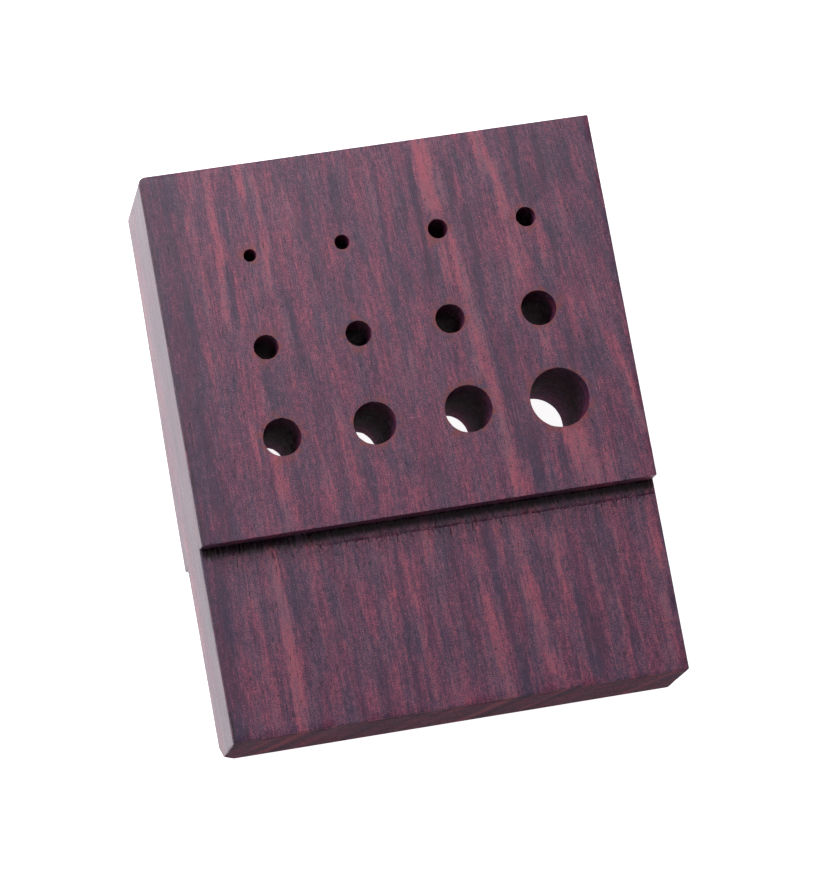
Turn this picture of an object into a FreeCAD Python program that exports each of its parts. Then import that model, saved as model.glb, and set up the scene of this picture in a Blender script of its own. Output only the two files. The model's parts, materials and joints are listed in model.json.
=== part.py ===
import FreeCAD, Part
import os

# A jeweller's draw plate: one board of hard wood with twelve graduated holes.
# Its lower end is cut back on both faces, which leaves a tongue for a vice or a clamp.
# The board lies on its back face. X runs across it, +Y points from the tongue to the small
# holes' end and +Z points out of the front face, the side that the wire leaves.
# The origin is the middle of the board's box, at the level of the back face.

# Driving dimensions, in millimetres
board_width = 76.0
board_thickness = 25.4
block_length = 61.7         # the full-thickness part, which holds the holes
tongue_length = 32.0
front_step = 3.6            # depth of the cut-back on the front face
back_step = 3.6             # depth of the cut-back on the back face
corner_radius = 1.2         # top left corner, rubbed round where the board is handled
eased_edge = 0.3            # the long edges and the tongue's end, broken with abrasive paper
heel_clip = 2.0             # the tongue's left corner at the end, knocked off across the back edge

# The grid of holes, measured from the left side and from the top end
column_offsets = (16.0, 31.4, 47.1, 62.2)
row_offsets = (15.5, 31.0, 46.1)
hole_diameters = (
    (2.0, 2.4, 3.2, 3.2),
    (4.0, 4.2, 4.8, 5.8),
    (6.2, 7.0, 7.8, 9.8),
)
# Hand drilling leaves some holes off the grid: (row, column) to (right, down)
drill_wander = {
    (0, 2): (0.4, 0.1),
    (0, 3): (0.2, 0.2),
    (1, 2): (-0.3, -0.2),
    (1, 3): (-0.5, 0.2),
    (2, 3): (0.2, 0.4),
}

board_length = block_length + tongue_length
left_side = -board_width / 2
right_side = board_width / 2
top_end = board_length / 2
tongue_end = -board_length / 2
shoulder = top_end - block_length
tongue_back = back_step
tongue_front = board_thickness - front_step
overrun = 1.0               # how far a cutting tool runs past the wood


def box_between(low, high):
    size = [high[i] - low[i] for i in range(3)]
    return Part.makeBox(size[0], size[1], size[2], FreeCAD.Vector(*low))


def cut_board():
    """The full board, with the cut-back across each face."""
    board = box_between((left_side, tongue_end, 0), (right_side, top_end, board_thickness))
    wide = (left_side - overrun, right_side + overrun)
    low_y = tongue_end - overrun
    front_waste = box_between(
        (wide[0], low_y, tongue_front), (wide[1], shoulder, board_thickness + overrun))
    back_waste = box_between((wide[0], low_y, -overrun), (wide[1], shoulder, tongue_back))
    return board.cut(front_waste).cut(back_waste)


def is_at(value, target):
    return abs(value - target) < 0.001


def edge_box(edge):
    box = edge.BoundBox
    return (box.XMin, box.XMax), (box.YMin, box.YMax), (box.ZMin, box.ZMax)


def round_corner(board):
    """Round the upright edge where the left side meets the top end."""
    chosen = []
    for edge in board.Edges:
        x_span, y_span, z_span = edge_box(edge)
        if is_at(x_span[0], left_side) and is_at(x_span[1], left_side) and is_at(y_span[0], top_end):
            if is_at(z_span[1] - z_span[0], board_thickness):
                chosen.append(edge)
    return board.makeFillet(corner_radius, chosen)


def clip_heel(board):
    """Slice the tongue's lower left corner off, towards the back."""
    corner = FreeCAD.Vector(left_side, tongue_end, tongue_back)
    along_x = corner + FreeCAD.Vector(heel_clip, 0, 0)
    along_y = corner + FreeCAD.Vector(0, heel_clip, 0)
    along_z = corner + FreeCAD.Vector(0, 0, 2 * heel_clip)
    outside = corner - FreeCAD.Vector(overrun, overrun, overrun)
    triangles = [
        (along_x, along_y, along_z),
        (outside, along_x, along_y),
        (outside, along_y, along_z),
        (outside, along_z, along_x),
    ]
    faces = [Part.Face(Part.makePolygon([a, b, c, a])) for a, b, c in triangles]
    wedge = Part.makeSolid(Part.makeShell(faces))
    return board.cut(wedge)


def ease_edges(board):
    """Break the front and back edges of both sides, the top end and the tongue's end."""
    faces_z = (0, board_thickness, tongue_back, tongue_front)
    chosen = []
    for edge in board.Edges:
        x_span, y_span, z_span = edge_box(edge)
        flat = is_at(z_span[0], z_span[1]) and any(is_at(z_span[0], level) for level in faces_z)
        on_side = is_at(x_span[0], x_span[1]) and is_at(abs(x_span[0]), board_width / 2)
        on_end = is_at(y_span[0], y_span[1]) and is_at(abs(y_span[0]), board_length / 2)
        if flat and (on_side or on_end):
            chosen.append(edge)
    return board.makeChamfer(eased_edge, chosen)


def hole_centre(row, column):
    right, down = drill_wander.get((row, column), (0, 0))
    x = left_side + column_offsets[column] + right
    y = top_end - row_offsets[row] - down
    return x, y


def drill_holes(board):
    """Drill the grid straight through, from the front face to the back face."""
    for row, diameters in enumerate(hole_diameters):
        for column, diameter in enumerate(diameters):
            x, y = hole_centre(row, column)
            start = FreeCAD.Vector(x, y, -overrun)
            drill = Part.makeCylinder(diameter / 2, board_thickness + 2 * overrun, start)
            board = board.cut(drill)
    return board


os.makedirs("parts", exist_ok=True)
draw_plate = drill_holes(ease_edges(clip_heel(round_corner(cut_board()))))
draw_plate.exportStep("parts/draw_plate.step")
print("draw_plate", draw_plate.isValid(), len(draw_plate.Solids), round(draw_plate.Volume, 1))
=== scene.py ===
import bpy
import bmesh
import json
import math
import random
from mathutils import Matrix, Vector, noise


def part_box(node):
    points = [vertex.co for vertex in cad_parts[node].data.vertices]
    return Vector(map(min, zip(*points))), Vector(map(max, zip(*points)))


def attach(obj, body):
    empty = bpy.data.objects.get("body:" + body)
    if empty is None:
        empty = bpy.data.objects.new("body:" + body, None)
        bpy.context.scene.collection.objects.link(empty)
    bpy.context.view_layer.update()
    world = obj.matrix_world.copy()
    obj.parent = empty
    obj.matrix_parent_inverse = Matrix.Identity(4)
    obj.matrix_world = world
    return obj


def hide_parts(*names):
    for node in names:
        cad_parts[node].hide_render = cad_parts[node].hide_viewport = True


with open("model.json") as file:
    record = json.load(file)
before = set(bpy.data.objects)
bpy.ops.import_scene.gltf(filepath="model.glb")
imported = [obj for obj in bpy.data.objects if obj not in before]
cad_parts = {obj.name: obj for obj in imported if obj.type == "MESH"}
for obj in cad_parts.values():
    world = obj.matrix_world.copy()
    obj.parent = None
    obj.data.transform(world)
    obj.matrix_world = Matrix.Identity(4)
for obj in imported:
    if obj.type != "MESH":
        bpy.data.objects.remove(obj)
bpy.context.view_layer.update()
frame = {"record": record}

mm = 0.001
plateLow, plateHigh = (Vector(corner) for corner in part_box("draw_plate"))
mounts = {mount["name"]: mount for mount in frame["record"]["mounts"]}
holes = [mount for mount in mounts.values() if mount["kind"] == "bore"]
tongueFront = mounts["tongue_front"]["pos_m"][2]
tongueBack = mounts["tongue_back"]["pos_m"][2]
shoulderY = 2 * mounts["tongue_front"]["pos_m"][1] - plateLow.y  # the mount sits halfway along the tongue


def smoothStep(value, start, end):
    # 0 at start and 1 at end, whichever of the two is larger
    t = min(1.0, max(0.0, (value - start) / (end - start)))
    return t * t * (3 - 2 * t)


def roughLine(along, seed):
    # a value from -1 to 1 that wanders as along grows, the same on every run
    return noise.noise(Vector((along, seed * 7.3, seed * 1.9)))


def addObject(name, data):
    made = bpy.data.objects.new(name, data)
    bpy.context.scene.collection.objects.link(made)
    return made


# Small helpers for both kinds of node tree
def addNode(tree, kind, links=None, **settings):
    made = tree.nodes.new(kind)
    for name, value in settings.items():
        setattr(made, name, value)
    for socket, value in (links or {}).items():
        if isinstance(value, bpy.types.NodeSocket):
            tree.links.new(value, made.inputs[socket])
        elif value is not None:
            made.inputs[socket].default_value = value
    return made


def addOne(tree, kind, links=None, **settings):
    # for a node of which only the first output is used
    return addNode(tree, kind, links, **settings).outputs[0]


def doMath(tree, operation, first, second=None, third=None, clamp=False):
    made = addNode(tree, "ShaderNodeMath", {0: first, 1: second, 2: third}, operation=operation)
    made.use_clamp = clamp
    return made.outputs[0]


def remap(tree, value, fromLow, fromHigh, toLow=0.0, toHigh=1.0):
    made = addNode(tree, "ShaderNodeMapRange", {
        "Value": value, "From Min": fromLow, "From Max": fromHigh, "To Min": toLow, "To Max": toHigh})
    made.interpolation_type = "SMOOTHSTEP"
    return made.outputs[0]


def times(tree, first, second):
    return doMath(tree, "MULTIPLY", first, second)


def addAround(tree, grain, strength, value):
    # add a noise to a value, without moving its average
    return doMath(tree, "MULTIPLY_ADD", doMath(tree, "SUBTRACT", grain, 0.5), strength, value)


def mixColours(tree, factor, first, second, blend="MIX"):
    made = addNode(tree, "ShaderNodeMix", data_type="RGBA", blend_type=blend)
    for identifier, value in (("Factor_Float", factor), ("A_Color", first), ("B_Color", second)):
        socket = next(s for s in made.inputs if s.identifier == identifier)
        if isinstance(value, bpy.types.NodeSocket):
            tree.links.new(value, socket)
        else:
            socket.default_value = value
    return next(s for s in made.outputs if s.identifier == "Result_Color")


# The wood. Its figure is solid, so the sides, the ends and the bores show the same board cut another way.
# Colours are red, green, blue and alpha; sizes are in mm
woodLook = {
    "slate": (0.050, 0.019, 0.052, 1),
    "plum": (0.085, 0.031, 0.073, 1),
    "wine": (0.117, 0.038, 0.084, 1),
    "rose": (0.158, 0.048, 0.095, 1),
    "salmon": (0.285, 0.076, 0.116, 1),
    "stops": {"slate": 0.12, "plum": 0.32, "wine": 0.50, "rose": 0.70, "salmon": 0.93},  # dark to pale
    "contrast": 2.1,
    "streakStrength": 0.25,
    "toneShift": -0.03,        # below 0 the whole board is darker
    "wander": 0.6,             # how far the streaks stray from straight
    "fray": 1.5,               # how far their sides break up into fibres
    "redder": (1.25, 0.96, 0.98, 1),
    "bluer": (0.77, 1.04, 1.02, 1),
    "poreColour": (0.014, 0.007, 0.010, 1),
    "freshColour": (0.190, 0.036, 0.036, 1),
    # colour of the stain and painted shade in the shoulder's corner
    "stainAndShadeColour": (0.013, 0.004, 0.007, 1),
    "scratchColour": (0.30, 0.12, 0.17, 1),
    "leanAtLeft": -0.016,      # how far the grain leans to the right for each mm down
    "leanGrowth": 0.0019,      # and how much more it leans for each mm further right
    "leanEases": 52.0,         # mm down the board where the grain starts to straighten
    "leanEasing": 0.62,
    "ringTilt": 0.35,          # how far the rings shift across for each mm into the board
    "fibreBump": 0.030,
    "poreBump": 0.03,
    "poreStrength": 0.8,
    "freshStrength": 0.85,     # how much of the torn red wood shows at the rims
    "turnedBump": 0.12,        # drill marks round the bores
    # paler colour along the drill marks in the bores: a painted highlight
    "turnedHighlight": (2.2, 2.1, 2.2, 1),
}

# The grain between the streaks, in layers: scale across and along the grain per mm, seed, detail,
# roughness and strength
grainLayers = {
    "broad": (0.25, 0.03, 3, 2.0, 0.50, 0.22),
    "medium": (0.9, 0.06, 4, 3.0, 0.55, 0.42),
    "fine": (3.4, 0.22, 5, 3.0, 0.60, 0.70),
    "speck": (7.5, 4.5, 6, 3.0, 0.70, 1.90),
    "mottle": (1.9, 0.9, 7, 3.0, 0.65, 0.65),
}

# Three kinds of pore: scale across and along the grain per mm, and how few of the cells hold one
poreKinds = ((3.3, 0.42, 0.74), (6.0, 1.1, 0.62), (2.6, 0.9, 0.88))

# The same wood is finished three ways: oiled faces and sides, sawn ends that soak up the oil, and drilled
# bores. Shade multiplies the colour
woodFinish = {
    "oiledRosewood": {
        "shade": (1, 1, 1, 1), "roughness": 0.40, "specular": 0.50, "turned": False},
    "endGrainRosewood": {
        "shade": (0.48, 0.38, 0.39, 1), "roughness": 0.80, "specular": 0.05, "turned": False},
    # the bores' shade darkens their colour: painted shade inside the bores
    "boredRosewood": {
        "shade": (0.62, 0.54, 0.60, 1), "roughness": 0.60, "specular": 0.012, "turned": True},
}

# The main streaks of the figure, in mm from the top left corner of the front: across and along at the
# start, across and along at the end, and half the width. Then how much paler it is, or darker if below zero
blockStreaks = [
    # the whole left edge, dark
    (2.2, -6, 2.4, 66, 2.8, -0.5),
    # left of the block, pale
    (7.2, 5, 7.9, 28, 0.7, 0.45), (8.6, -6, 8.6, 5, 0.6, 0.5), (10.8, -6, 11.2, 14, 0.6, 0.9),
    (11.2, 11, 10.5, 29, 0.7, 0.85), (16.5, -6, 16.8, 8, 0.7, 0.75), (18.2, -1, 19.0, 13, 0.6, 0.75),
    (19.0, 11, 18.0, 24, 0.7, 0.8), (16.1, 16, 16.1, 25, 0.6, 0.45), (20.8, 0, 22.6, 16, 0.6, 0.4),
    (23.0, 3, 24.0, 13, 0.6, 0.5), (19.8, 24, 20.2, 34, 0.5, 0.45), (12.0, 26, 12.5, 36, 0.6, 0.3),
    (6.3, 29, 7.3, 38, 0.5, 0.3), (10.2, 36, 10.7, 48, 0.45, 0.35), (11.4, 41, 11.4, 53, 0.5, 0.7),
    (13.5, 35, 14.8, 43, 0.45, 0.4), (14.1, 46, 15.2, 64, 0.9, 0.75), (22.8, 29, 24.5, 39, 0.8, 0.45),
    (20.8, 36, 21.2, 50, 0.5, 0.35), (25.4, 40, 26.8, 60, 0.8, 0.55), (21.7, 49, 22.6, 62, 0.6, 0.55),
    (2.0, 47, 2.5, 61, 0.6, 0.3), (6.5, 51, 6.3, 61, 0.5, 0.3), (37.3, 1, 37.8, 15, 0.5, 0.45),
    (36.2, 16, 36.6, 31, 0.5, 0.25), (36.2, 49, 36.8, 61, 0.6, 0.35), (33.6, 23, 33.9, 39, 0.35, 0.25),
    # left of the block, dark
    (3.8, 1, 3.8, 15, 0.6, -0.35), (12.8, 3, 13.2, 18, 0.5, -0.55), (12.3, 15, 11.8, 28, 0.6, -0.8),
    (2.2, 17, 2.4, 31, 1.1, -0.3), (4.6, 19, 4.8, 31, 0.6, -0.45), (20.8, 21, 21.6, 38, 0.6, -0.65),
    (25.8, 3, 26.5, 15, 0.7, -0.45), (26.1, 16, 26.3, 23, 0.45, -0.8), (31.5, 2, 31.8, 15, 1.0, -0.6),
    (31.3, 18, 31.3, 28, 0.35, -0.6), (33.6, 4, 34.2, 21, 0.6, -0.35), (32.8, 32, 33.0, 42, 0.45, -0.5),
    (15.2, 32, 15.5, 43, 0.9, -0.55), (3.0, 37, 3.2, 49, 0.9, -0.35), (28.2, 29, 28.0, 45, 0.6, -0.3),
    (5.3, 49, 5.6, 60, 0.5, -0.3), (17.6, 50, 18.4, 62, 0.8, -0.35), (29.0, 51, 29.4, 62, 0.7, -0.3),
    (22.4, 41, 22.3, 48, 0.7, -0.35),
    # right of the block, pale
    (47.2, -6, 47.3, 14.5, 1.5, 1.0), (49.2, 3, 49.6, 13, 0.45, 0.6), (47.3, 16, 47.8, 27, 0.6, 0.75),
    (49.3, 15, 50.3, 30, 0.8, 0.95), (50.3, 27, 49.9, 43, 0.9, 1.0), (51.3, 29, 51.8, 41, 0.5, 0.6),
    (51.4, 38, 52.3, 54, 0.8, 0.85), (52.2, 51, 53.3, 64, 1.2, 0.9), (53.4, -6, 53.6, 2, 0.9, 0.6),
    (55.8, -6, 57.8, 10, 1.1, 0.95), (58.8, 4, 59.0, 18, 0.65, 0.95), (59.0, 16, 59.6, 28, 0.75, 0.9),
    (54.4, 3, 54.4, 13, 0.4, 0.45), (60.7, 11, 60.8, 27, 0.5, 0.4), (64.2, 15, 64.1, 29, 0.5, 0.5),
    (42.8, 9, 43.2, 23, 0.45, 0.4), (41.5, 25, 41.7, 37, 0.6, 0.4), (40.5, 0, 40.8, 11, 0.6, 0.4),
    (39.2, 33, 39.3, 45, 0.45, 0.4), (42.8, 35, 42.6, 45, 0.5, 0.4), (68.3, 9, 68.6, 21, 0.45, 0.6),
    (70.6, 23, 71.6, 35, 0.5, 0.45), (73.0, 33, 74.0, 45, 0.5, 0.6), (74.3, 39, 75.0, 57, 0.6, 0.7),
    (67.0, 28, 67.2, 38, 0.45, 0.55), (61.6, 34, 61.7, 41, 0.8, 0.55), (57.8, 21, 55.6, 36, 0.6, 0.35),
    (62.8, 49, 65.6, 64, 2.0, 0.95), (68.0, 54, 68.6, 64, 0.6, 0.9), (58.3, 52, 58.2, 62, 0.45, 0.45),
    # right of the block, dark
    (44.8, 1, 44.9, 27, 0.5, -0.9), (38.8, 1, 38.6, 29, 0.4, -0.5), (42.6, 8, 42.7, 16, 0.35, -0.6),
    (51.0, 3, 51.0, 13, 0.7, -0.8), (52.2, 11, 53.3, 24, 0.7, -0.7), (52.6, 20, 52.6, 32, 0.6, -0.7),
    (54.2, -2, 54.3, 4, 0.3, -0.6), (62.6, -2, 62.6, 15, 0.45, -0.9), (64.5, 7, 64.6, 15, 1.3, -0.55),
    (66.2, -1, 66.7, 15, 0.6, -0.7), (66.2, 15, 66.0, 29, 0.5, -0.8), (65.8, 33, 65.7, 45, 0.5, -0.8),
    (70.2, 1, 71.0, 13, 1.1, -0.5), (72.0, 15, 73.0, 27, 0.7, -0.4), (68.6, 33, 69.5, 45, 0.7, -0.5),
    (53.8, 29, 54.2, 49, 1.2, -0.5), (54.5, 46, 55.6, 58, 1.0, -0.6), (57.2, 49, 56.6, 63, 1.0, -0.75),
    (56.0, 31, 56.1, 42, 0.45, -0.6), (60.8, 51, 61.2, 63, 0.8, -0.7), (46.9, 33, 46.5, 41, 0.3, -0.5),
    (70.0, 44, 71.0, 57, 0.6, -0.35), (72.0, 49, 73.5, 59, 0.6, -0.4),
]
tongueStreaks = [
    # pale
    (11.5, 60, 11.6, 76, 0.65, 1.0), (11.7, 72, 11.9, 99, 0.9, 1.0), (7.0, 65, 7.3, 80, 0.7, 0.5),
    (7.4, 78, 7.7, 99, 0.6, 0.5), (5.4, 61, 5.0, 80, 0.6, 0.3), (16.8, 61, 17.4, 74, 0.9, 0.4),
    (17.4, 84, 18.0, 99, 1.0, 0.4), (28.0, 61, 28.8, 71, 0.7, 0.5), (28.2, 73, 28.4, 93, 1.0, 0.3),
    (32.6, 63, 33.4, 80, 0.5, 0.45), (33.4, 78, 34.4, 99, 0.6, 0.45), (36.9, 61, 36.8, 73, 0.8, 0.7),
    (37.8, 71, 38.0, 83, 0.8, 0.45), (37.4, 83, 38.3, 99, 1.2, 0.4), (44.2, 67, 44.4, 77, 0.45, 0.9),
    (44.6, 74, 45.4, 85, 0.7, 0.8), (45.2, 81, 46.2, 99, 0.9, 1.0), (51.8, 63, 52.4, 79, 1.0, 0.7),
    (52.4, 74, 53.4, 92, 1.3, 0.75), (55.0, 85, 55.4, 99, 0.5, 0.7), (57.7, 69, 57.7, 80, 0.45, 0.5),
    (63.3, 71, 63.6, 83, 0.6, 0.45), (74.0, 63, 75.2, 80, 0.8, 0.6), (74.2, 78, 73.8, 99, 0.9, 0.75),
    # dark
    (14.2, 61, 14.5, 99, 0.8, -0.4), (23.4, 68, 23.8, 80, 0.7, -0.5), (25.5, 83, 26.0, 99, 0.9, -0.5),
    (31.0, 65, 31.2, 97, 0.7, -0.3), (40.6, 61, 41.2, 75, 0.5, -0.6), (41.0, 73, 41.2, 91, 0.45, -0.5),
    (46.8, 61, 47.0, 75, 0.6, -0.75), (46.8, 72, 48.5, 87, 0.7, -0.7), (48.8, 83, 49.0, 99, 0.8, -0.9),
    (57.3, 61, 57.5, 69, 0.9, -0.7), (60.5, 77, 60.8, 94, 0.9, -0.6), (62.3, 81, 62.0, 94, 0.8, -0.6),
    (57.6, 86, 57.0, 99, 0.6, -0.5), (66.0, 63, 66.8, 77, 0.7, -0.3), (67.7, 77, 68.0, 90, 0.7, -0.5),
    (1.4, 62, 1.6, 99, 1.6, -0.6), (70.6, 65, 70.4, 82, 0.7, -0.3),
]

# Fine scribed lines left from laying the holes out, and marks where the tongue was rubbed: the same six
# values, but along before across, because these run across the grain
scratches = [
    (46.1, 5, 46.0, 13, 0.05, 0.5), (46.1, 34, 46.2, 44, 0.05, 0.6), (45.6, 19, 45.9, 28, 0.04, 0.3),
    (30.8, 41, 30.7, 45, 0.05, 0.4), (30.7, 49, 30.9, 53, 0.05, 0.5), (31.4, 48.5, 31.3, 51.5, 0.04, 0.4),
    (67.1, 58, 68.4, 70, 0.05, 0.45), (68.0, 60, 68.9, 73, 0.04, 0.35), (70.9, 53, 70.0, 64, 0.04, 0.35),
    (55.9, 52, 55.3, 58, 0.04, 0.3), (59.3, 62, 59.1, 69, 0.05, 0.5), (86.2, 66, 84.6, 73, 0.04, 0.3),
]


def allStreaks():
    # the tongue's face lies deeper, where the tilted rings have moved across
    shift = woodLook["ringTilt"] * (plateHigh.z - tongueFront) / mm
    return blockStreaks + [(a + shift, b, c + shift, d, e, f) for a, b, c, d, e, f in tongueStreaks]


def makeStreakGroup():
    # one streak: a soft stripe along a line, fading out at its sides and its ends
    group = bpy.data.node_groups.new("grainStreak", "ShaderNodeTree")
    names = ("Across", "Along", "Place", "Slant", "Outer", "Inner", "Middle", "Far", "Near", "Strength",
             "Sum")
    for name in names:
        group.interface.new_socket(name, in_out="INPUT", socket_type="NodeSocketFloat")
    group.interface.new_socket("Sum", in_out="OUTPUT", socket_type="NodeSocketFloat")
    given = addNode(group, "NodeGroupInput").outputs
    # Too small to see: each streak waits for the one before, so that the renderer can hold them all
    wait = times(group, given["Sum"], 1e-7)
    along = doMath(group, "ADD", given["Along"], wait)
    line = doMath(group, "MULTIPLY_ADD", along, given["Slant"], given["Place"])
    offset = doMath(group, "ABSOLUTE", doMath(group, "SUBTRACT", given["Across"], line))
    sides = remap(group, offset, given["Outer"], given["Inner"])
    middle = doMath(group, "ADD", given["Middle"], wait)
    past = doMath(group, "ABSOLUTE", doMath(group, "SUBTRACT", given["Along"], middle))
    ends = remap(group, past, given["Far"], given["Near"])
    mask = times(group, sides, ends)
    total = doMath(group, "MULTIPLY_ADD", mask, given["Strength"], given["Sum"])
    addNode(group, "NodeGroupOutput", {"Sum": total})
    return group


def addStreak(tree, group, across, along, streak, total):
    startAcross, start, endAcross, end, halfWidth, strength = streak
    slant = (endAcross - startAcross) / (end - start)
    halfLength = (end - start) / 2
    values = {
        "Across": across, "Along": along, "Place": startAcross - slant * start, "Slant": slant,
        "Outer": 1.45 * halfWidth, "Inner": 0.5 * halfWidth, "Middle": (start + end) / 2,
        "Far": halfLength, "Near": halfLength - min(4.0, 0.7 * halfLength),
        "Strength": strength, "Sum": total}
    return addNode(tree, "ShaderNodeGroup", values, node_tree=group).outputs[0]


def noiseAt(tree, across, along, depth, seed, detail=2.0, roughness=0.5):
    # noise with its own scale across the grain, along it and into the board, per mm
    place = addOne(tree, "ShaderNodeCombineXYZ", {
        0: doMath(tree, "MULTIPLY_ADD", woodPlace["across"], across, seed * 3.7),
        1: doMath(tree, "MULTIPLY_ADD", woodPlace["along"], along, seed * 1.3),
        2: times(tree, woodPlace["depth"], depth)})
    texture = addNode(tree, "ShaderNodeTexNoise",
                      {"Vector": place, "Scale": 1.0, "Detail": detail, "Roughness": roughness})
    return texture.outputs[0]


woodPlace = {}


def findWoodPlace(tree):
    # where a point lies in the board, in mm: across from the left, along from the top end, and deep.
    # Plain is straight across. Ring is moved over with depth, as the rings are. Across also has the
    # lean of the grain taken out
    coords = addNode(tree, "ShaderNodeTexCoord").outputs["Object"]
    centred = addNode(tree, "ShaderNodeMapping", {
        "Vector": coords, "Scale": (1000.0, -1000.0, -1000.0),
        "Location": (-1000.0 * plateLow.x, 1000.0 * plateHigh.y, 1000.0 * plateHigh.z)}).outputs[0]
    parts = addNode(tree, "ShaderNodeSeparateXYZ", {0: centred}).outputs
    lean = doMath(tree, "MULTIPLY_ADD", parts["X"], woodLook["leanGrowth"], woodLook["leanAtLeft"])
    past = doMath(tree, "MAXIMUM", doMath(tree, "SUBTRACT", parts["Y"], woodLook["leanEases"]), 0.0)
    eased = doMath(tree, "MULTIPLY_ADD", past, -woodLook["leanEasing"], parts["Y"])
    ring = doMath(tree, "MULTIPLY_ADD", parts["Z"], woodLook["ringTilt"], parts["X"])
    straight = doMath(tree, "SUBTRACT", ring, times(tree, lean, eased))
    woodPlace.update(across=straight, ring=ring, plain=parts["X"], along=parts["Y"], depth=parts["Z"])


def addPores(tree):
    # short dark lines along the grain, and dots where the board is cut across
    wobble = noiseAt(tree, 2.0, 0.5, 2.0, 9)
    across = doMath(tree, "MULTIPLY_ADD", wobble, 0.5, woodPlace["across"])
    pore = 0.0
    for acrossScale, alongScale, rarity in poreKinds:
        poreCells = addOne(tree, "ShaderNodeCombineXYZ", {
            0: times(tree, across, acrossScale),
            1: times(tree, woodPlace["along"], alongScale),
            2: times(tree, woodPlace["depth"], acrossScale)})
        cells = addNode(tree, "ShaderNodeTexVoronoi",
                        {"Vector": poreCells, "Scale": 1.0, "Randomness": 1.0})
        size = addOne(tree, "ShaderNodeSeparateColor", {0: cells.outputs["Color"]})
        chosen = remap(tree, size, rarity, 1.0)
        inPore = remap(tree, cells.outputs["Distance"], 0.32, 0.12)
        pore = doMath(tree, "MAXIMUM", pore, times(tree, inPore, chosen))
    return pore


def makeTone(tree, group, turned):
    # how pale the wood is, from 0 to 1, and the grain layers that it is made of
    look = woodLook
    wander = noiseAt(tree, 0.12, 0.05, 0.12, 1)
    fray = noiseAt(tree, 2.2, 0.09, 2.2, 2, detail=3.0, roughness=0.6)
    shifted = addAround(tree, wander, look["wander"], woodPlace["ring"])
    frayed = addAround(tree, fray, look["fray"], shifted)
    total = 0.0
    for streak in [] if turned else allStreaks():
        total = addStreak(tree, group, frayed, woodPlace["along"], streak, total)
    tone = doMath(tree, "MULTIPLY_ADD", total, look["streakStrength"], look["toneShift"])
    grain = {}
    for name, (across, along, seed, detail, roughness, strength) in grainLayers.items():
        grain[name] = noiseAt(tree, across, along, across, seed, detail, roughness)
        tone = addAround(tree, grain[name], strength, tone)
    return doMath(tree, "MULTIPLY_ADD", tone, look["contrast"], 0.5), grain


def colourTone(tree, tone):
    ramp = addNode(tree, "ShaderNodeValToRGB", {0: tone})
    stops = ramp.color_ramp.elements
    places = woodLook["stops"]
    stops[0].position, stops[0].color = places["slate"], woodLook["slate"]
    stops[1].position, stops[1].color = places["salmon"], woodLook["salmon"]
    for shadeName in ("plum", "wine", "rose"):
        stops.new(places[shadeName]).color = woodLook[shadeName]

    # The hue drifts from red to blue in patches, and again from fibre to fibre
    drift = noiseAt(tree, 0.5, 0.09, 0.5, 10, detail=2.0)
    grit = noiseAt(tree, 5.0, 2.2, 5.0, 11, detail=2.0, roughness=0.6)
    hue = addAround(tree, grit, 0.8, drift)
    tint = mixColours(tree, remap(tree, hue, 0.32, 0.68), woodLook["redder"], woodLook["bluer"])
    return mixColours(tree, 1.0, ramp.outputs[0], tint, blend="MULTIPLY")


def addScratches(tree, group, colour, mottle):
    # scribed lines, only on the front, and broken up
    scribed = 0.0
    for scratch in scratches:
        scribed = addStreak(tree, group, woodPlace["along"], woodPlace["plain"], scratch, scribed)
    broken = remap(tree, mottle, 0.42, 0.60)
    onFront = doMath(tree, "LESS_THAN", woodPlace["depth"], 4.0)
    scribed = times(tree, times(tree, scribed, broken), onFront)
    return mixColours(tree, scribed, colour, woodLook["scratchColour"])


def addMarks(tree, colour, grain):
    # torn red wood at the holes, and darkening at the shoulder and the left edge: stain with painted shade
    # in the shoulder's corner, and a dark line inside the left edge. Both come from the mesh
    fresh = addNode(tree, "ShaderNodeAttribute", attribute_name="freshWood").outputs["Fac"]
    patches = remap(tree, noiseAt(tree, 0.8, 0.8, 0.8, 8), 0.40, 0.58)
    patchy = times(tree, fresh, patches)
    freshMask = times(tree, patchy, woodLook["freshStrength"])
    colour = mixColours(tree, freshMask, colour, woodLook["freshColour"])
    # stain with painted shade: the colour is darkened where the mesh's value says, broken into threads by
    # the grain
    stainAndShadeAmount = addNode(tree, "ShaderNodeAttribute", attribute_name="stainAndShade").outputs["Fac"]
    threads = addAround(tree, grain["speck"], 1.2, addAround(tree, grain["fine"], 2.6, stainAndShadeAmount))
    stainAndShadeMask = times(tree, remap(tree, threads, 0.15, 0.85), remap(tree, stainAndShadeAmount, 0.02, 0.25))
    return mixColours(tree, stainAndShadeMask, colour, woodLook["stainAndShadeColour"])


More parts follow.
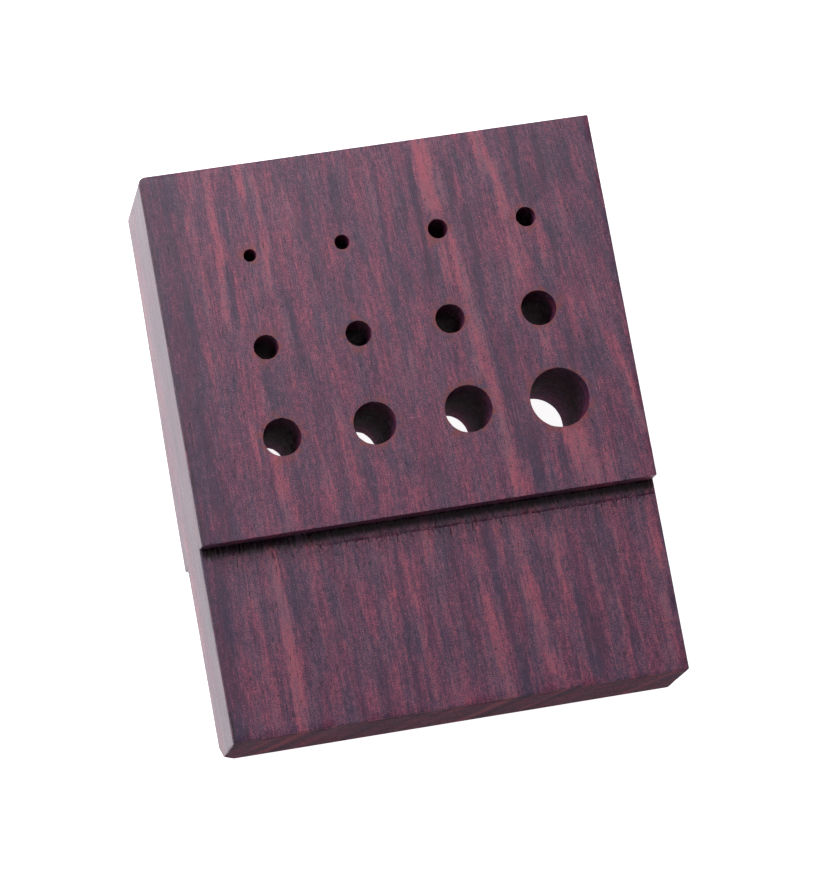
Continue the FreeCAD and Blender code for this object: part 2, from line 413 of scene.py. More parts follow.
def makeWood(name, group):
    finish = woodFinish[name]
    material = bpy.data.materials.new(name)
    material.use_nodes = True
    tree = material.node_tree
    tree.nodes.clear()
    findWoodPlace(tree)
    tone, grain = makeTone(tree, group, finish["turned"])
    colour = colourTone(tree, tone)
    pore = addPores(tree)
    poreMask = times(tree, pore, woodLook["poreStrength"])
    colour = mixColours(tree, poreMask, colour, woodLook["poreColour"])
    colour = addScratches(tree, group, colour, grain["mottle"])
    colour = addMarks(tree, colour, grain)

    fibres = doMath(tree, "ADD", grain["fine"], grain["speck"])
    fibres = times(tree, fibres, woodLook["fibreBump"] * mm)
    height = doMath(tree, "MULTIPLY_ADD", pore, -woodLook["poreBump"] * mm, fibres)
    if finish["turned"]:
        rings = noiseAt(tree, 0.35, 0.35, 5.0, 12, detail=3.0, roughness=0.6)
        height = doMath(tree, "MULTIPLY_ADD", rings, woodLook["turnedBump"] * mm, height)
        # painted highlights: paler colour along the drill marks
        highlighted = mixColours(tree, 1.0, colour, woodLook["turnedHighlight"], blend="MULTIPLY")
        colour = mixColours(tree, remap(tree, rings, 0.40, 0.72), colour, highlighted)
    bump = addNode(tree, "ShaderNodeBump", {"Strength": 1.0, "Distance": 1.0, "Height": height})
    colour = mixColours(tree, 1.0, colour, finish["shade"], blend="MULTIPLY")
    rough = doMath(tree, "MULTIPLY_ADD", grain["medium"], 0.25, finish["roughness"] - 0.12)
    shader = addNode(tree, "ShaderNodeBsdfPrincipled", {
        "Base Color": colour, "Roughness": rough, "Normal": bump.outputs[0], "IOR": 1.5,
        "Specular IOR Level": finish["specular"]})
    addNode(tree, "ShaderNodeOutputMaterial", {"Surface": shader.outputs[0]})
    return material


# The board, cut from one blank. All sizes in mm
boardShape = {
    "cornerRadius": 1.2,       # top left corner, rubbed round
    "easedEdge": 0.22,         # bevel on every other sharp edge but the shoulder's
    "heelClip": 2.0,           # left corner of the tongue's end, knocked off across the back edge
    "columnStep": 2.0,         # mesh spacing over the whole board
    "rowStep": 2.0,
    "layerStep": 2.3,
    "tornZone": 4.0,           # width of the fine mesh below the shoulder
    "tornColumnStep": 0.18,
    "tornRowStep": 0.14,
    "wallStep": 0.4,
    "edgeWear": 0.07,          # how far the eased edges are rubbed in
    "lipChip": 0.16,           # deepest chip in the shoulder's outer edge
    "leanTop": 0.25,           # how far the left side leans in at the back, at the top end
    "leanShoulder": -0.35,     # and at the shoulder, where it leans out
    "endLean": 0.45,           # how far the tongue's end leans out at the back
    "leanReach": 12.0,         # how far in from the edge the lean fades out
    "raggedUntil": 14.0,       # the cutter tore the wood from the left edge to here,
    "cleanFrom": 24.0,         # and left a cleaner line from here on
    "ledge": 2.4,              # distance from the shoulder's wall to the cutter's line
    "ledgeWander": 0.14,
    "ledgeDepth": 0.10,        # the strip between wall and line lies this much deeper
    "scoreDepth": 0.24,
    "tearDepth": 0.30,
    "fringeLength": 3.2,       # longest tear down from the wall
    "toothLength": 1.9,        # longest tear down from the line
    "sawRoughness": 0.05,
}


def makeBlank():
    # side outline of the board: y and z of each corner, from the tongue's end round to the back
    outline = [
        (plateLow.y, tongueBack), (plateLow.y, tongueFront),
        (shoulderY, tongueFront), (shoulderY, plateHigh.z),
        (plateHigh.y, plateHigh.z), (plateHigh.y, plateLow.z),
        (shoulderY, plateLow.z), (shoulderY, tongueBack),
    ]
    mesh = bmesh.new()
    side = mesh.faces.new([mesh.verts.new((plateLow.x, y, z)) for y, z in outline])
    swept = bmesh.ops.extrude_face_region(mesh, geom=[side])
    moved = [item for item in swept["geom"] if isinstance(item, bmesh.types.BMVert)]
    bmesh.ops.translate(mesh, verts=moved, vec=(plateHigh.x - plateLow.x, 0, 0))
    bmesh.ops.recalc_face_normals(mesh, faces=mesh.faces)
    return mesh


def bevelEdges(mesh, edges, width, segments):
    bmesh.ops.bevel(mesh, geom=edges, offset=width * mm, offset_type="OFFSET", segments=segments,
                    profile=0.5, affect="EDGES", clamp_overlap=True)


def isCorner(edge):
    return all(abs(v.co.x - plateLow.x) < 1e-6 and abs(v.co.y - plateHigh.y) < 1e-6 for v in edge.verts)


def isLip(edge):
    # the shoulder's outer edges stay crisp
    onFace = all(min(abs(v.co.z - plateHigh.z), abs(v.co.z - plateLow.z)) < 1e-6 for v in edge.verts)
    return onFace and all(abs(v.co.y - shoulderY) < 1e-6 for v in edge.verts)


def isSharp(edge):
    joins = len(edge.link_faces) == 2 and edge.calc_face_angle_signed() > math.radians(40)
    return joins and not isLip(edge)


def clipHeel(mesh):
    clip = boardShape["heelClip"] * mm
    corner = Vector((plateLow.x, plateLow.y, tongueBack))
    facing = Vector((-1, -1, -0.5)).normalized()
    bmesh.ops.bisect_plane(mesh, geom=mesh.verts[:] + mesh.edges[:] + mesh.faces[:], plane_no=facing,
                           plane_co=corner + Vector((clip, 0, 0)), clear_outer=True)
    bmesh.ops.holes_fill(mesh, edges=[edge for edge in mesh.edges if edge.is_boundary])


def cutRows(mesh, axis, places, inZone=None):
    # score flat cuts across the mesh, only through the faces in the zone if there is one
    facing = Vector([1.0 if i == axis else 0.0 for i in range(3)])
    for place in places:
        faces = [face for face in mesh.faces if inZone is None or inZone(face.calc_center_median())]
        edges = list({edge for face in faces for edge in face.edges})
        verts = list({vert for face in faces for vert in face.verts})
        bmesh.ops.bisect_plane(mesh, geom=verts + edges + faces, plane_co=facing * place,
                               plane_no=facing, dist=1e-6)


def spread(low, high, step):
    count = max(1, round((high - low) / step))
    return [low + (high - low) * i / count for i in range(count + 1)]


def inTornZone(point):
    reach = boardShape["tornZone"] * mm
    inside = shoulderY - reach < point.y < shoulderY + 0.9 * mm
    return inside and (point.z > tongueFront - 0.02 * mm or point.z < tongueBack + 0.02 * mm)


def onTongueZone(point):
    return inTornZone(point) and point.y < shoulderY - 0.01 * mm


def onShoulderWall(point):
    return abs(point.y - shoulderY) < 0.005 * mm


def refineBoard(mesh):
    shape = boardShape
    margin = 1.4 * mm
    reach = shape["tornZone"] * mm
    rim = (shape["easedEdge"] + 0.05) * mm  # keeps the faces flat right up to the eased edges
    cutRows(mesh, 0, (plateLow.x + rim, plateLow.x + 0.8 * mm, plateHigh.x - rim))
    cutRows(mesh, 1, (plateLow.y + rim, plateHigh.y - rim))
    cutRows(mesh, 2, (plateLow.z + rim, tongueBack + rim, tongueFront - rim, plateHigh.z - rim))
    cutRows(mesh, 0, spread(plateLow.x + margin, plateHigh.x - margin, shape["columnStep"] * mm))
    cutRows(mesh, 1, spread(plateLow.y + margin, shoulderY - reach, shape["rowStep"] * mm))
    cutRows(mesh, 1, spread(shoulderY + 0.9 * mm, plateHigh.y - margin, shape["rowStep"] * mm))
    cutRows(mesh, 2, spread(margin, plateHigh.z - margin, shape["layerStep"] * mm))
    fineColumns = spread(plateLow.x + 0.5 * mm, plateHigh.x - 0.5 * mm, shape["tornColumnStep"] * mm)
    cutRows(mesh, 0, fineColumns, lambda p: inTornZone(p) or onShoulderWall(p))
    fineRows = spread(shoulderY - reach, shoulderY - 0.05 * mm, shape["tornRowStep"] * mm)
    cutRows(mesh, 1, fineRows[1:], onTongueZone)
    wallRows = spread(tongueFront + 0.2 * mm, plateHigh.z - 0.5 * mm, shape["wallStep"] * mm)
    wallRows += spread(0.5 * mm, tongueBack - 0.2 * mm, shape["wallStep"] * mm)
    cutRows(mesh, 2, wallRows, onShoulderWall)


def tornDepth(across, below, seed):
    # how deep the wood is torn, in mm: across is from the left, and below is down from the shoulder's wall
    shape = boardShape
    wander = roughLine(across * 0.45, seed) + 0.5 * roughLine(across * 2.1, seed + 1)
    ledge = shape["ledge"] + shape["ledgeWander"] * wander
    clean = smoothStep(across, shape["raggedUntil"], shape["cleanFrom"])

    trough = shape["ledgeDepth"] * clean * smoothStep(below, ledge + 0.12, ledge - 0.10)
    score = shape["scoreDepth"] * clean * max(0.0, 1 - abs(below - ledge) / 0.17)
    score *= 0.6 + 0.6 * roughLine(across * 1.3, seed + 2)
    firstScore = 0.5 * shape["scoreDepth"] * max(0.0, 1 - abs(below - ledge + 0.42) / 0.15)
    firstScore *= smoothStep(across, 18.0, 22.0) * smoothStep(across, 37.0, 30.0)

    pull = roughLine(across * 3.1, seed + 3) + 0.6 * roughLine(across * 6.3, seed + 4)
    fringeLength = shape["fringeLength"] * max(0.0, pull + 0.2) * (1 - 0.8 * clean)
    fringe = shape["tearDepth"] * max(0.0, 1 - below / max(fringeLength, 0.01))
    bite = roughLine(across * 3.3, seed + 5) + 0.6 * roughLine(across * 6.9, seed + 6)
    upLength = 0.3 + 1.3 * abs(roughLine(across * 2.9, seed + 7))
    downLength = shape["toothLength"] * max(0.05, roughLine(across * 2.4, seed + 8))
    tooth = shape["tearDepth"] * smoothStep(bite, 0.15, 0.45) * clean
    if below < ledge:
        tooth *= max(0.0, 1 - (ledge - below) / upLength)
    else:
        tooth *= max(0.0, 1 - (below - ledge) / downLength)
    return max(trough + score, firstScore, fringe, tooth)


def shapeBoard(mesh):
    shape = boardShape
    for vert in mesh.verts:
        point = vert.co
        across = (point.x - plateLow.x) / mm
        below = (shoulderY - point.y) / mm
        isFront = abs(point.z - tongueFront) < 0.02 * mm
        isBack = abs(point.z - tongueBack) < 0.02 * mm
        inside = 0.4 < across < (plateHigh.x - plateLow.x) / mm - 0.4
        if 0.01 < below < shape["tornZone"] - 0.1 and inside and (isFront or isBack):
            depth = tornDepth(across, below, 1 if isFront else 5) * mm
            point.z += -depth if isFront else depth
        onFace = min(abs(point.z - plateHigh.z), abs(point.z - plateLow.z)) < 0.01 * mm
        if onFace and abs(below) < 0.01 and inside:
            chip = max(0.0, roughLine(across * 1.7, 21) + 0.6 * roughLine(across * 4.3, 22) - 0.25)
            point.y += 1.6 * shape["lipChip"] * chip * mm
            point.z += shape["lipChip"] * chip * mm * (-1 if point.z > tongueFront else 1)
        elif abs(below) < 0.004 and inside:
            sawn = roughLine(across * 1.7, 11) + roughLine(point.z / mm * 2.5, 12)
            point.y += shape["sawRoughness"] * mm * abs(sawn)


def wearEdges(mesh):
    shape = boardShape
    ease = shape["easedEdge"] * mm
    for vert in mesh.verts:
        point = vert.co
        # the faces that this point is close to, on a board of this cross-section
        top = plateHigh.z if point.y > shoulderY - 0.01 * mm else tongueFront
        bottom = plateLow.z if point.y > shoulderY - 0.01 * mm else tongueBack
        near = [
            (Vector((1, 0, 0)), point.x - plateLow.x), (Vector((-1, 0, 0)), plateHigh.x - point.x),
            (Vector((0, 1, 0)), point.y - plateLow.y), (Vector((0, -1, 0)), plateHigh.y - point.y),
            (Vector((0, 0, -1)), top - point.z), (Vector((0, 0, 1)), point.z - bottom),
        ]
        close = [(facing, gap) for facing, gap in near if gap < ease * 1.05]
        if len(close) < 2:
            continue
        inward = sum((facing for facing, gap in close), Vector()).normalized()
        rub = noise.noise(point * 180) * 0.7 + noise.noise(point * 700) * 0.5
        vert.co = point + inward * shape["edgeWear"] * mm * max(0.0, rub + 0.25)


def leanSides(mesh):
    # the left side and the tongue's end are a little out of square, so their back edges are moved
    shape = boardShape
    for vert in mesh.verts:
        point = vert.co
        alongBlock = smoothStep(point.y, shoulderY, plateHigh.y)
        lean = shape["leanShoulder"] + (shape["leanTop"] - shape["leanShoulder"]) * alongBlock
        across = (point.x - plateLow.x) / mm
        nearness = max(0.0, 1 - across / shape["leanReach"])
        depth = 1 - point.z / plateHigh.z
        point.x += lean * mm * nearness * depth
        nearEnd = max(0.0, 1 - (point.y - plateLow.y) / mm / shape["leanReach"])
        tongueDepth = (tongueFront - point.z) / (tongueFront - tongueBack)
        point.y -= shape["endLean"] * mm * nearEnd * tongueDepth


def makeBoard():
    mesh = makeBlank()
    clipHeel(mesh)
    bevelEdges(mesh, [edge for edge in mesh.edges if isCorner(edge)], boardShape["cornerRadius"], 5)
    bevelEdges(mesh, [edge for edge in mesh.edges if isSharp(edge)], boardShape["easedEdge"], 3)
    refineBoard(mesh)
    shapeBoard(mesh)
    wearEdges(mesh)
    leanSides(mesh)
    bmesh.ops.dissolve_degenerate(mesh, dist=1e-6, edges=mesh.edges)
    bmesh.ops.recalc_face_normals(mesh, faces=mesh.faces)
    plain = bpy.data.meshes.new("plateWood")
    mesh.to_mesh(plain)
    mesh.free()
    board = addObject("plate_wood", plain)
    print("board blank:", len(plain.polygons), "faces")
    return board


# The drilled holes: one ridged cutter on each centre, taken out of the board
drilling = {
    "sides": 64,
    "rings": 56,
    "overrun": 1.0,            # mm past each face
    "ridgeDepth": 0.09,        # mm, the drill's spiral marks
    "ridgePitch": 1.15,        # mm
    "flareWidth": 0.03,        # mm, rim worn open
    "flareDepth": 0.30,        # mm
    "chipWidth": 0.07,         # mm
}


def makeCentres():
    # one point on each hole's axis, with its radius
    mesh = bpy.data.meshes.new("drillCentres")
    mesh.from_pydata([(hole["pos_m"][0], hole["pos_m"][1], plateHigh.z / 2) for hole in holes], [], [])
    radius = mesh.attributes.new("holeRadius", "FLOAT", "POINT")
    for i, hole in enumerate(holes):
        radius.data[i].value = hole["dims"]["r_mm"] * mm
    return addObject("drillCentres", mesh)


def newGeometryTree(name, inputs):
    tree = bpy.data.node_groups.new(name, "GeometryNodeTree")
    tree.interface.new_socket("Geometry", in_out="INPUT", socket_type="NodeSocketGeometry")
    tree.interface.new_socket("Geometry", in_out="OUTPUT", socket_type="NodeSocketGeometry")
    identifiers = {}
    for label, (kind, value) in inputs.items():
        socket = tree.interface.new_socket(label, in_out="INPUT", socket_type=kind)
        identifiers[label] = socket.identifier
    given = addNode(tree, "NodeGroupInput").outputs
    return tree, given, identifiers


def readValue(tree, name, kind="FLOAT"):
    return addNode(tree, "GeometryNodeInputNamedAttribute", {"Name": name}, data_type=kind).outputs[0]


def runTree(target, tree, identifiers, inputs):
    # put the tree on the object, set its inputs, and keep the result as a plain mesh
    modifier = target.modifiers.new(tree.name, "NODES")
    modifier.node_group = tree
    for label, (kind, value) in inputs.items():
        modifier[identifiers[label]] = value
    graph = bpy.context.evaluated_depsgraph_get()
    result = bpy.data.meshes.new_from_object(target.evaluated_get(graph), preserve_all_data_layers=True,
                                             depsgraph=graph)
    target.modifiers.remove(modifier)
    target.data = result


def drillHoles(board, centres, woods):
    inputs = {
        "Centres": ("NodeSocketObject", centres),
        "Board Thickness": ("NodeSocketFloat", plateHigh.z),
        "Overrun": ("NodeSocketFloat", drilling["overrun"] * mm),
        "Ridge Depth": ("NodeSocketFloat", drilling["ridgeDepth"] * mm),
        "Ridge Pitch": ("NodeSocketFloat", drilling["ridgePitch"] * mm),
        "Flare Width": ("NodeSocketFloat", drilling["flareWidth"] * mm),
        "Flare Depth": ("NodeSocketFloat", drilling["flareDepth"] * mm),
        "Chip Width": ("NodeSocketFloat", drilling["chipWidth"] * mm),
        "Sides": ("NodeSocketInt", drilling["sides"]),
        "Rings": ("NodeSocketInt", drilling["rings"]),
        "Face Wood": ("NodeSocketMaterial", woods["oiledRosewood"]),
        "End Wood": ("NodeSocketMaterial", woods["endGrainRosewood"]),
        "Bore Wood": ("NodeSocketMaterial", woods["boredRosewood"]),
    }
    tree, given, identifiers = newGeometryTree("drillHoles", inputs)
    points = addNode(tree, "GeometryNodeObjectInfo", {"Object": given["Centres"]}).outputs["Geometry"]
    radius = readValue(tree, "holeRadius")
    position = addOne(tree, "GeometryNodeInputPosition")
    points = addOne(tree, "GeometryNodeStoreNamedAttribute", {
        "Geometry": points, "Name": "holeCentre", "Value": position}, data_type="FLOAT_VECTOR")
    length = doMath(tree, "MULTIPLY_ADD", given["Overrun"], 2.0, given["Board Thickness"])
    cutter = addNode(tree, "GeometryNodeMeshCylinder", {
        "Vertices": given["Sides"], "Side Segments": given["Rings"],
        "Radius": 1.0, "Depth": length}).outputs["Mesh"]
    size = addOne(tree, "ShaderNodeCombineXYZ", {0: radius, 1: radius, 2: 1.0})
    drills = addOne(tree, "GeometryNodeInstanceOnPoints", {
        "Points": points, "Instance": cutter, "Scale": size})
    drills = addOne(tree, "GeometryNodeRealizeInstances", {"Geometry": drills})

    # Push each wall point out along its radius: spiral marks all the way, and a worn rim at each face
    centre = readValue(tree, "holeCentre", "FLOAT_VECTOR")
    arm = addOne(tree, "ShaderNodeVectorMath", {0: position, 1: centre}, operation="SUBTRACT")
    armParts = addNode(tree, "ShaderNodeSeparateXYZ", {0: arm}).outputs
    flat = addOne(tree, "ShaderNodeCombineXYZ", {0: armParts[0], 1: armParts[1], 2: 0.0})
    outward = addOne(tree, "ShaderNodeVectorMath", {0: flat}, operation="NORMALIZE")
    turn = doMath(tree, "DIVIDE", doMath(tree, "ARCTAN2", armParts[1], armParts[0]), 2 * math.pi)
    climb = doMath(tree, "DIVIDE", armParts[2], given["Ridge Pitch"])
    phase = times(tree, doMath(tree, "ADD", turn, climb), 2 * math.pi)
    spiral = doMath(tree, "MULTIPLY_ADD", doMath(tree, "SINE", phase), 0.5, 0.5)
    patchy = addOne(tree, "ShaderNodeTexNoise",
                     {"Vector": position, "Scale": 260.0, "Detail": 2.0})
    ridge = times(tree, times(tree, spiral, patchy), given["Ridge Depth"])
    heightHere = doMath(tree, "ABSOLUTE", armParts[2])
    fromFace = doMath(tree, "MULTIPLY_ADD", given["Board Thickness"], -0.5, heightHere)
    toFace = doMath(tree, "ABSOLUTE", fromFace)
    atRim = doMath(tree, "SUBTRACT", 1.0, doMath(tree, "DIVIDE", toFace, given["Flare Depth"]), clamp=True)
    chips = addOne(tree, "ShaderNodeTexNoise",
                    {"Vector": position, "Scale": 900.0, "Detail": 1.0})
    chips = remap(tree, chips, 0.52, 0.75)
    rim = doMath(tree, "MULTIPLY_ADD", chips, given["Chip Width"], given["Flare Width"])
    push = doMath(tree, "MULTIPLY_ADD", atRim, rim, ridge)
    offset = addNode(tree, "ShaderNodeVectorMath", {0: outward, "Scale": push}, operation="SCALE")
    drills = addNode(tree, "GeometryNodeSetPosition", {
        "Geometry": drills, "Offset": offset.outputs[0]}).outputs[0]

    drills = addOne(tree, "GeometryNodeStoreNamedAttribute", {
        "Geometry": drills, "Name": "isBore", "Value": 1.0}, data_type="FLOAT", domain="FACE")

    cut = addNode(tree, "GeometryNodeMeshBoolean", {
        "Mesh 1": given["Geometry"], "Mesh 2": drills}, operation="DIFFERENCE", solver="EXACT")
    drilled = addOne(tree, "GeometryNodeRealizeInstances", {"Geometry": cut.outputs["Mesh"]})
    isBore = readValue(tree, "isBore")
    normal = addOne(tree, "GeometryNodeInputNormal")
    facing = addNode(tree, "ShaderNodeSeparateXYZ", {0: normal}).outputs
    isCrosswise = doMath(tree, "GREATER_THAN", doMath(tree, "ABSOLUTE", facing[1]), 0.8)
    alongBoard = addNode(tree, "ShaderNodeSeparateXYZ", {0: position}).outputs[1]
    nearEnd = doMath(tree, "GREATER_THAN", doMath(tree, "ABSOLUTE", alongBoard), plateHigh.y - 2 * mm)
    isEnd = times(tree, isCrosswise, nearEnd)
    for which, label in ((None, "Face Wood"), (isEnd, "End Wood"), (isBore, "Bore Wood")):
        drilled = addOne(tree, "GeometryNodeSetMaterial", {
            "Geometry": drilled, "Selection": which, "Material": given[label]})
    addNode(tree, "NodeGroupOutput", {"Geometry": drilled})
    runTree(board, tree, identifiers, inputs)
    print("drilled board:", len(board.data.polygons), "faces")


# Dark stain where oil and dust collect, together with painted shade, in the corner below the shoulder and
# in torn wood, and a dark line inside the left edge. Each strength is from 0 to 1, and sizes are in mm
stainAndShadeLook = {
    "corner": 0.80,
    "cornerFull": 0.6,         # full strength from the wall to here
    "cornerReach": 2.7,        # gone by here
    "cleanShorter": 0.6,       # and sooner by this much where the cutter left a clean line
    "torn": 0.45,
    "tornFrom": 0.12,          # depth of tearing where the stain and painted shade start
    "tornFull": 0.26,
    "edge": 0.5,
    "edgeFull": 0.3,
    "edgeReach": 0.85,
    "rimReach": 0.4,           # how far torn red wood reaches round a hole
}


def cornerStainAndShade(point):
    # how dark the wood is painted in the shoulder's corners: stain with painted shade, strongest near the
    # wall and in torn hollows
    look = stainAndShadeLook
    below = (shoulderY - point.y) / mm
    across = (point.x - plateLow.x) / mm
    onFront = tongueFront - 0.8 * mm < point.z < tongueFront + 0.05 * mm
    onBack = tongueBack - 0.05 * mm < point.z < tongueBack + 0.8 * mm
    if not (0.01 < below < boardShape["tornZone"] and (onFront or onBack)):
        return 0.0
    depth = abs(point.z - (tongueFront if onFront else tongueBack)) / mm
    clean = smoothStep(across, boardShape["raggedUntil"], boardShape["cleanFrom"])
    reach = look["cornerReach"] - look["cleanShorter"] * clean
    corner = look["corner"] * smoothStep(below, reach, look["cornerFull"])
    torn = look["torn"] * smoothStep(depth, look["tornFrom"], look["tornFull"])
    return max(corner, torn)


def edgeDarkLine(point):
    # a dark line just inside the left edge of the front
    look = stainAndShadeLook
    across = (point.x - plateLow.x) / mm
    onFace = point.z > plateHigh.z - 0.01 * mm or abs(point.z - tongueFront) < 0.01 * mm
    onFlat = across > 0.2 and onFace
    return look["edge"] * smoothStep(across, look["edgeReach"], look["edgeFull"]) * onFlat


def rimOfHole(point):
    # how close a point is to the rim of a hole, on the front
    if point.z < plateHigh.z - stainAndShadeLook["rimReach"] * mm:
        return 0.0
    nearest = 1.0
    for hole in holes:
        fromCentre = math.hypot(point.x - hole["pos_m"][0], point.y - hole["pos_m"][1]) / mm
        nearest = min(nearest, abs(fromCentre - hole["dims"]["r_mm"]))
    return smoothStep(nearest, stainAndShadeLook["rimReach"], 0.1)


def markWood(board):
    # two values at each point: fresh torn wood at the rims, and stain with painted shade in the corners
    mesh = board.data
    fresh = [rimOfHole(vert.co) for vert in mesh.vertices]
    stainAndShadeAmount = [max(cornerStainAndShade(vert.co), edgeDarkLine(vert.co)) for vert in mesh.vertices]
    for name, values in (("freshWood", fresh), ("stainAndShade", stainAndShadeAmount)):
        mesh.attributes.new(name, "FLOAT", "POINT").data.foreach_set("value", values)


# Torn fibres that stand up along the shoulder and round the rims
fibreLook = {
    "seed": 11,
    "alongShoulder": 150,
    "perRimMm": 1.6,           # for each mm of rim
    "shortest": 0.35,          # mm
    "longest": 1.5,
    "thickness": 0.05,
    "shoulderLift": 0.22,      # how high the tip stands, for each unit of length
    "rimLift": 0.02,
    "segments": 6,
}


def addFibre(fibres, place, turn, length, lift, dark, fresh):
    fibres["place"].append(place)
    fibres["turn"] += (0.0, 0.0, turn)
    fibres["length"].append(length * mm)
    fibres["lift"].append(lift)
    fibres["dark"].append(dark)
    fibres["fresh"].append(fresh)


def makeFibreRoots():
    # one point for each fibre, with its direction, length and colour
    look = fibreLook
    dice = random.Random(look["seed"])
    fibres = {name: [] for name in ("place", "turn", "length", "lift", "dark", "fresh")}
    for i in range(look["alongShoulder"]):
        across = dice.uniform(1.0, 75.0)
        clean = smoothStep(across, boardShape["raggedUntil"], boardShape["cleanFrom"])
        below = dice.uniform(0.8, 2.6) * (1 - clean) + dice.gauss(boardShape["ledge"], 0.12) * clean
        place = (plateLow.x + across * mm, shoulderY - below * mm, tongueFront - 0.03 * mm)
        turn = dice.gauss(0.0, 0.22) + (math.pi if dice.random() < 0.3 else 0.0)
        length = look["shortest"] + (look["longest"] - look["shortest"]) * dice.random() ** 2.5
        dark = dice.choice((0.0, 0.3, 0.8, 0.95))
        addFibre(fibres, place, turn, length, look["shoulderLift"], dark, dice.choice((0.0, 0.0, 0.9)))
    for hole in holes:
        radius = hole["dims"]["r_mm"]
        for i in range(round(2 * math.pi * radius * look["perRimMm"])):
            angle = dice.gauss(math.pi / 2, 0.75)
            reach = (radius + dice.uniform(-0.02, 0.10)) * mm
            place = (hole["pos_m"][0] + math.cos(angle) * reach,
                     hole["pos_m"][1] + math.sin(angle) * reach, plateHigh.z - 0.04 * mm)
            turn = math.pi + dice.gauss(0.0, 0.35) + (angle - math.pi / 2) * 0.5
            length = (look["shortest"] + 0.5 * dice.random() ** 2) * (0.5 + 0.1 * radius)
            dark = dice.choice((0.5, 0.85))
            addFibre(fibres, place, turn, length, look["rimLift"], dark, dice.choice((0.0, 1.0)))
    mesh = bpy.data.meshes.new("fibreRoots")
    mesh.from_pydata(fibres["place"], [], [])
    mesh.attributes.new("fibreTurn", "FLOAT_VECTOR", "POINT").data.foreach_set("vector", fibres["turn"])
    named = {"fibreLength": "length", "fibreLift": "lift", "stainAndShade": "dark", "freshWood": "fresh"}
    for name, key in named.items():
        mesh.attributes.new(name, "FLOAT", "POINT").data.foreach_set("value", fibres[key])
    return addObject("fibreRoots", mesh)


def growFibres(roots, wood):
    # a tapered, curled sliver on every root
    inputs = {
        "Thickness": ("NodeSocketFloat", fibreLook["thickness"] * mm),
        "Segments": ("NodeSocketInt", fibreLook["segments"]),
        "Wood": ("NodeSocketMaterial", wood),
    }
    tree, given, identifiers = newGeometryTree("growFibres", inputs)
    turn = readValue(tree, "fibreTurn", "FLOAT_VECTOR")
    length = readValue(tree, "fibreLength")
    line = addOne(tree, "GeometryNodeCurvePrimitiveLine", {"End": (0, -1, 0)})
    line = addOne(tree, "GeometryNodeResampleCurve", {
        "Curve": line, "Count": given["Segments"]})
    stem = addOne(tree, "GeometryNodeInstanceOnPoints", {
        "Points": given["Geometry"], "Instance": line, "Rotation": turn, "Scale": length})
    stem = addOne(tree, "GeometryNodeRealizeInstances", {"Geometry": stem})
    share = addNode(tree, "GeometryNodeSplineParameter").outputs["Factor"]
    tipLift = times(tree, length, readValue(tree, "fibreLift"))
    rise = times(tree, times(tree, share, share), tipLift)
    lifted = addOne(tree, "ShaderNodeCombineXYZ", {2: rise})
    stem = addOne(tree, "GeometryNodeSetPosition", {"Geometry": stem, "Offset": lifted})
    taper = doMath(tree, "SUBTRACT", 1.05, doMath(tree, "POWER", share, 1.6))
    stem = addOne(tree, "GeometryNodeSetCurveRadius", {"Curve": stem, "Radius": taper})
    outline = addOne(tree, "GeometryNodeCurvePrimitiveCircle", {
        "Resolution": 5, "Radius": given["Thickness"]})
    sliver = addNode(tree, "GeometryNodeCurveToMesh", {
        "Curve": stem, "Profile Curve": outline, "Fill Caps": True})
    fibres = addOne(tree, "GeometryNodeRealizeInstances", {"Geometry": sliver.outputs[0]})
    fibres = addOne(tree, "GeometryNodeSetMaterial", {
        "Geometry": fibres, "Material": given["Wood"]})
    addNode(tree, "NodeGroupOutput", {"Geometry": fibres})
    runTree(roots, tree, identifiers, inputs)
    print("torn fibres:", len(roots.data.polygons), "faces")


def joinFibres(board, fibres):
    inputs = {"Fibres": ("NodeSocketObject", fibres)}
    tree, given, identifiers = newGeometryTree("joinFibres", inputs)
    extra = addNode(tree, "GeometryNodeObjectInfo", {"Object": given["Fibres"]}).outputs["Geometry"]
    both = addNode(tree, "GeometryNodeJoinGeometry")
    tree.links.new(extra, both.inputs[0])
    tree.links.new(given["Geometry"], both.inputs[0])
    joined = addOne(tree, "GeometryNodeRealizeInstances", {"Geometry": both.outputs[0]})
    addNode(tree, "NodeGroupOutput", {"Geometry": joined})
    runTree(board, tree, identifiers, inputs)


def finishMesh(board):
    mesh = board.data
    for name in ("holeCentre", "isBore", "fibreTurn", "fibreLength", "fibreLift"):
        if name in mesh.attributes:
            mesh.attributes.remove(mesh.attributes[name])
    mesh.shade_smooth()
    mesh.set_sharp_from_angle(angle=math.radians(32))
    mesh.update()


# The stage: a pale floor, a soft surround and two soft boxes
stageLook = {
    "floorColour": (0.85, 0.85, 0.85, 1),
    "floorGlow": 0.93,         # the floor is a lit white table
    "floorSize": 6.0,
    "surround": 0.26,
    "keyPower": 1.72,
    "keySize": 0.31,
    "keyPlace": (-0.22, 0.24, 0.32),
    "fillPower": 0.28,
    "fillSize": 0.16,
    "fillPlace": (0.06, 0.17, 0.38),
}


def addSoftBox(name, place, size, power, target):
    light = bpy.data.lights.new(name, "AREA")
    light.shape = "SQUARE"
    light.size = size
    light.energy = power
    box = addObject(name, light)
    box.location = place
    box.rotation_euler = (Vector(target) - Vector(place)).to_track_quat("-Z", "Y").to_euler()


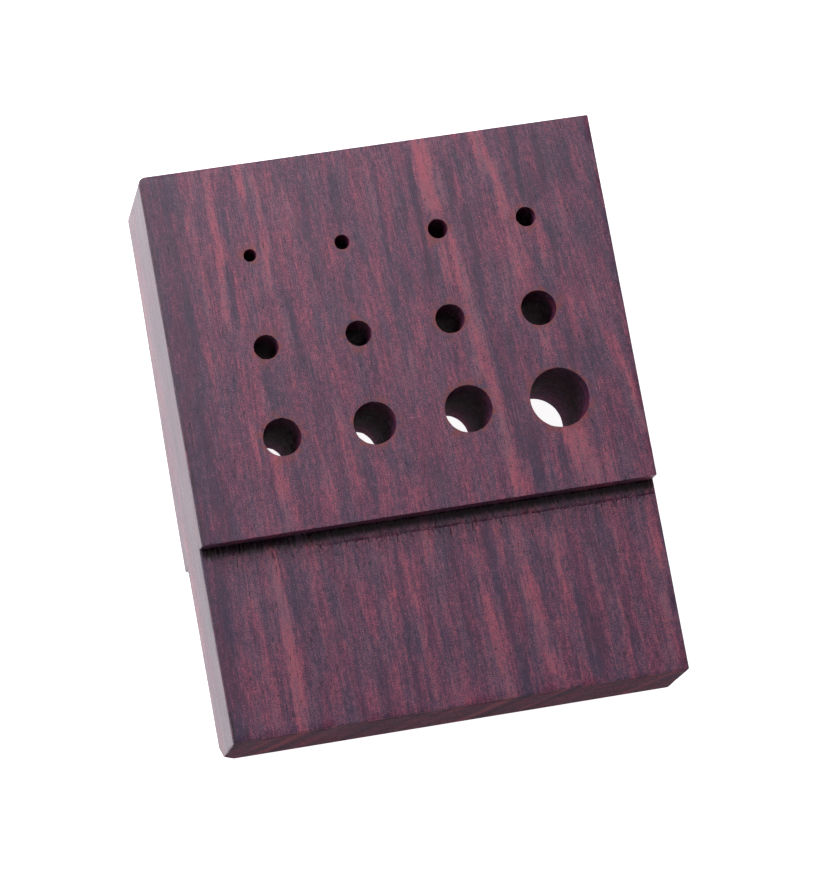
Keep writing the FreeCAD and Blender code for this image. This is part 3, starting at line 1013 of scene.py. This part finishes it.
def makeStage():
    look = stageLook
    half = look["floorSize"] / 2
    mesh = bpy.data.meshes.new("studioFloor")
    corners = [(-half, -half, 0), (half, -half, 0), (half, half, 0), (-half, half, 0)]
    mesh.from_pydata(corners, [], [(0, 1, 2, 3)])
    floor = addObject("studio_floor", mesh)
    paper = bpy.data.materials.new("palePaper")
    paper.use_nodes = True
    shader = paper.node_tree.nodes["Principled BSDF"]
    shader.inputs["Base Color"].default_value = look["floorColour"]
    shader.inputs["Roughness"].default_value = 0.95
    shader.inputs["Specular IOR Level"].default_value = 0.1
    shader.inputs["Emission Color"].default_value = (1, 1, 1, 1)
    shader.inputs["Emission Strength"].default_value = look["floorGlow"]
    mesh.materials.append(paper)
    world = bpy.data.worlds.new("paleSurround")
    bpy.context.scene.world = world
    world.use_nodes = True
    world.node_tree.nodes["Background"].inputs["Color"].default_value = (1, 1, 1, 1)
    world.node_tree.nodes["Background"].inputs["Strength"].default_value = look["surround"]
    addSoftBox("keyLight", look["keyPlace"], look["keySize"], look["keyPower"], (0, 0, 0))
    addSoftBox("fillLight", look["fillPlace"], look["fillSize"], look["fillPower"], (0, 0, 0))
    bpy.context.scene.view_settings.view_transform = "Standard"


# The camera looks almost straight down, from beyond the tongue's left corner, turned about its own axis
cameraView = {
    "azimuth": 45.27,          # degrees, 0 looks along +Y
    "elevation": 76.11,
    "roll": 35.71,
    "distance": 0.7273,        # metres, to the point aimed at
    "aim": (-0.0009, -0.0024), # x and y on the front face
    "lens": 184.2,
}


def makeCamera():
    look = cameraView
    azimuth, elevation = math.radians(look["azimuth"]), math.radians(look["elevation"])
    forward = Vector((math.sin(azimuth) * math.cos(elevation), math.cos(azimuth) * math.cos(elevation),
                      -math.sin(elevation)))
    lens = bpy.data.cameras.new("studioCamera")
    lens.lens = look["lens"]
    lens.sensor_width = 36
    lens.clip_start = 0.01
    lens.clip_end = 20
    camera = addObject("studioCamera", lens)
    aim = Vector((look["aim"][0], look["aim"][1], plateHigh.z))
    place = aim - forward * look["distance"]
    level = forward.cross(Vector((0, 0, 1))).normalized()
    upright = level.cross(forward)
    roll = math.radians(look["roll"])
    right = level * math.cos(roll) + upright * math.sin(roll)
    up = upright * math.cos(roll) - level * math.sin(roll)
    turn = Matrix((right, up, -forward)).transposed()
    camera.matrix_world = Matrix.Translation(place) @ turn.to_4x4()
    bpy.context.scene.camera = camera


makeStage()
makeCamera()
print("stage and camera are set")
streakGroup = makeStreakGroup()
woods = {name: makeWood(name, streakGroup) for name in woodFinish}
print("wood is mixed from", len(allStreaks()), "streaks")
board = makeBoard()
centres = makeCentres()
drillHoles(board, centres, woods)
bpy.data.objects.remove(centres)
markWood(board)
fibres = makeFibreRoots()
growFibres(fibres, woods["oiledRosewood"])
joinFibres(board, fibres)
bpy.data.objects.remove(fibres)
finishMesh(board)
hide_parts("draw_plate")
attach(board, "root")
print("plate is finished")
